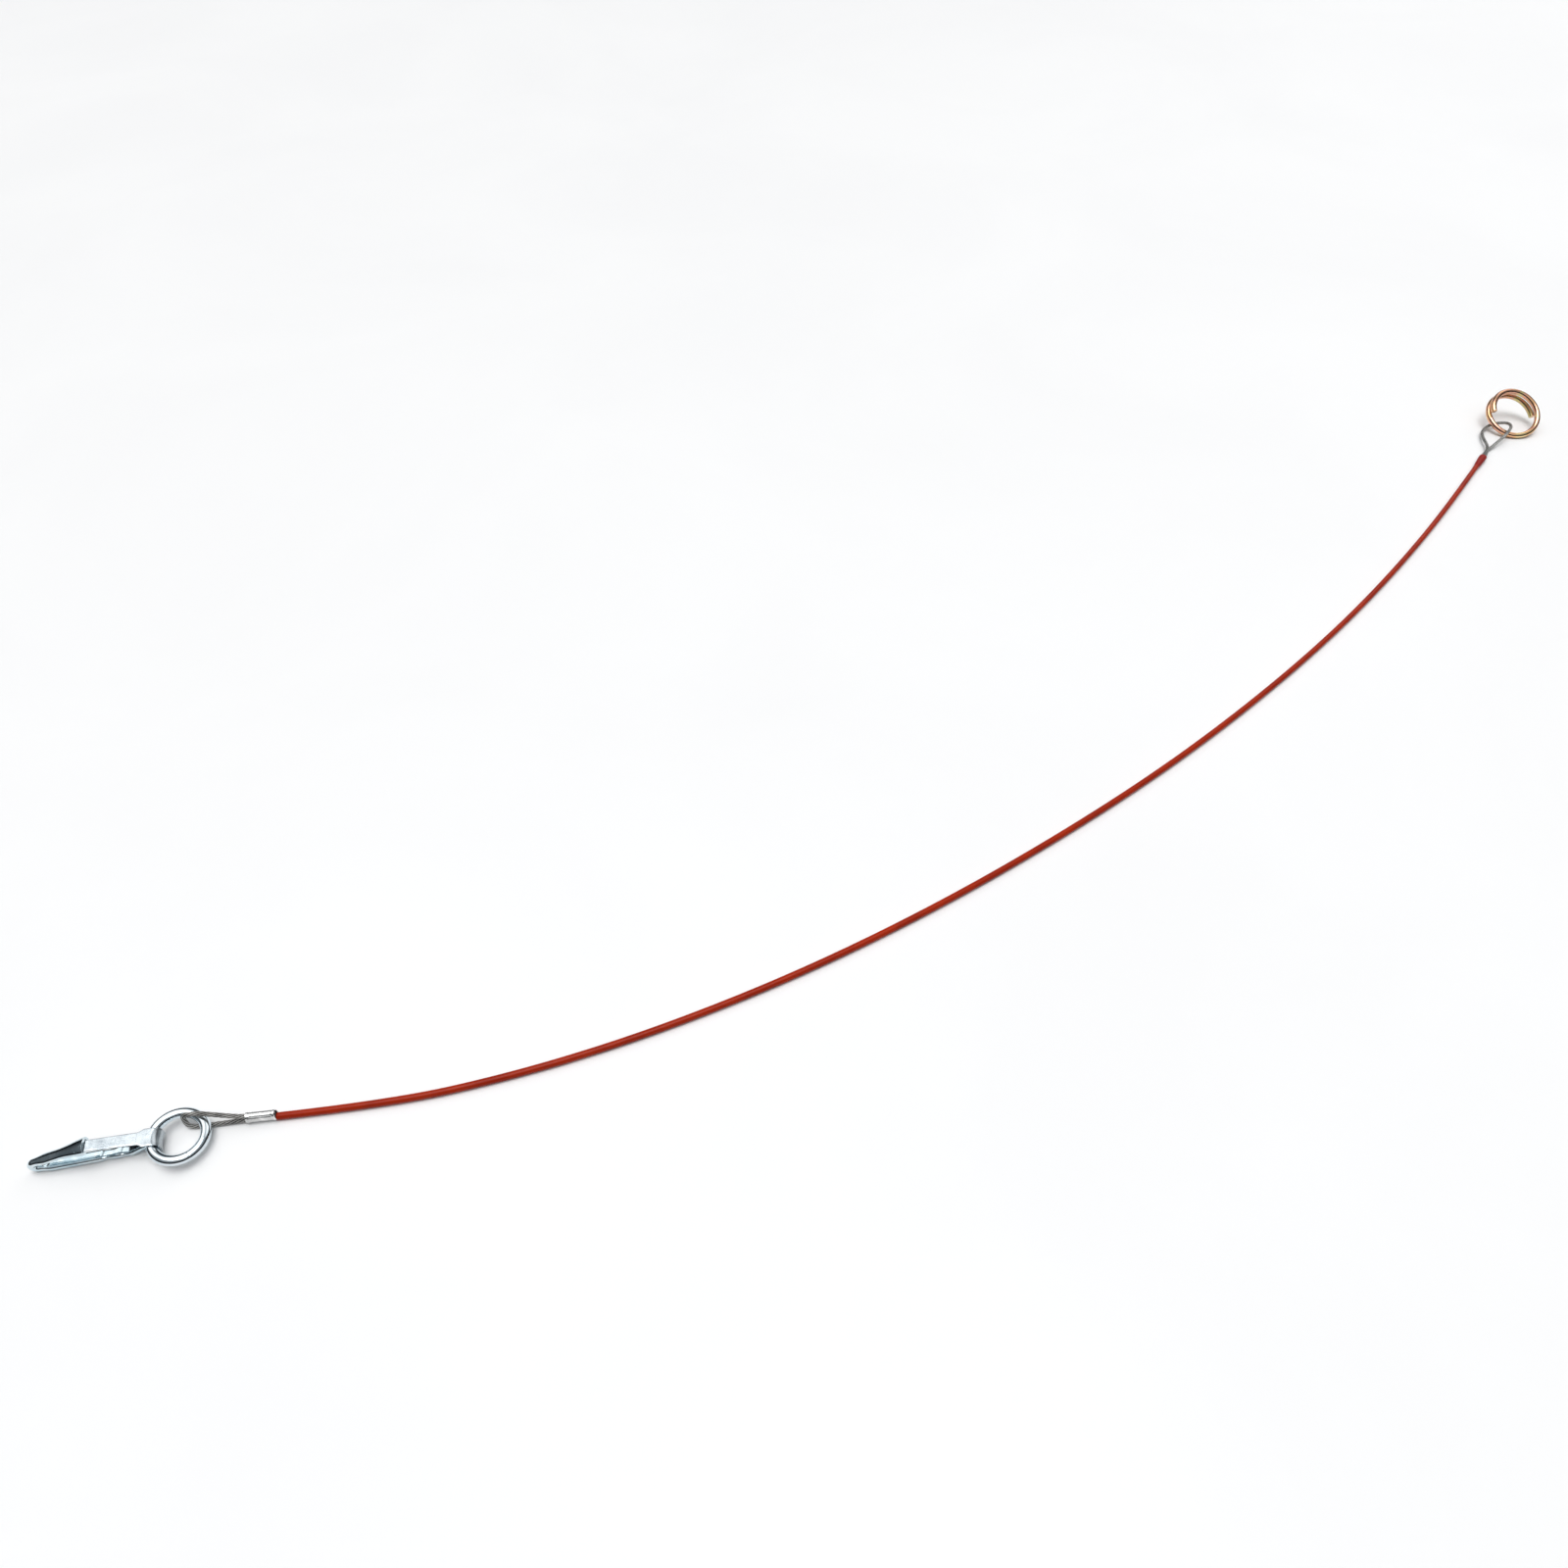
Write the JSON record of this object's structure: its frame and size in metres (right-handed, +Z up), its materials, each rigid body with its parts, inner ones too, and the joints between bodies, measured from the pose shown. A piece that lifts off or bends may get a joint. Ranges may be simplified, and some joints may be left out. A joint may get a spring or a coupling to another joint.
{
  "type": "snap hook breakaway cable",
  "caption": "Leaf-spring snap hook with an eye ring, a coated wire-rope lanyard and a coiled split ring at its far end.",
  "frame": {"origin": "under the middle of the hook and its eye ring, on the plane that they lie on", "axes": "+X along the hook from its nose to its eye ring, +Z up from the plane"},
  "size_m": [1.1453, 0.4789, 0.0256],
  "materials": {
    "zinc_forging": "bright zinc plate",
    "zinc_spring": "bright zinc plate, brushed",
    "zinc_ring": "bright zinc plate",
    "bare_rope": "bare galvanised strands",
    "ferrule": "pressed",
    "red_coating": "smooth extruded coating",
    "red_collar": "moulded",
    "gold_wire": "yellow passivated spring wire"
  },
  "bodies": {
    "hook": {"hook_body": "zinc_forging", "leaf_clasp": "zinc_spring", "near_eye": "bare_rope", "near_ferrule": "ferrule", "cable_core": "bare_rope", "cable_sleeve": "red_coating", "far_collar": "red_collar", "far_crimp": "ferrule", "far_eye": "bare_rope"},
    "leaf": {"gate_leaf": "zinc_spring"},
    "ring": {"eye_ring": "zinc_ring"},
    "coil": {"burst_ring": "gold_wire"}
  },
  "joints": [
    {"name": "leaf_bend", "type": "hinge", "parent": "hook", "child": "leaf", "pos_m": [0.01039, 0, 0.0124], "axis": [0, -1, 0], "range_deg": [0, 20], "stiffness_Nm_per_rad": 1.5},
    {"name": "ring_turn", "type": "hinge", "parent": "hook", "child": "ring", "pos_m": [0.02858, 0, 0.0069], "axis": [0.1132, 0, 0.9936], "continuous": true},
    {"name": "coil_swing", "type": "hinge", "parent": "hook", "child": "coil", "pos_m": [1.0615, 0.4345, 0.0045], "axis": [0.5271, -0.8433, -0.1054], "range_deg": [0, 30]}
  ]
}
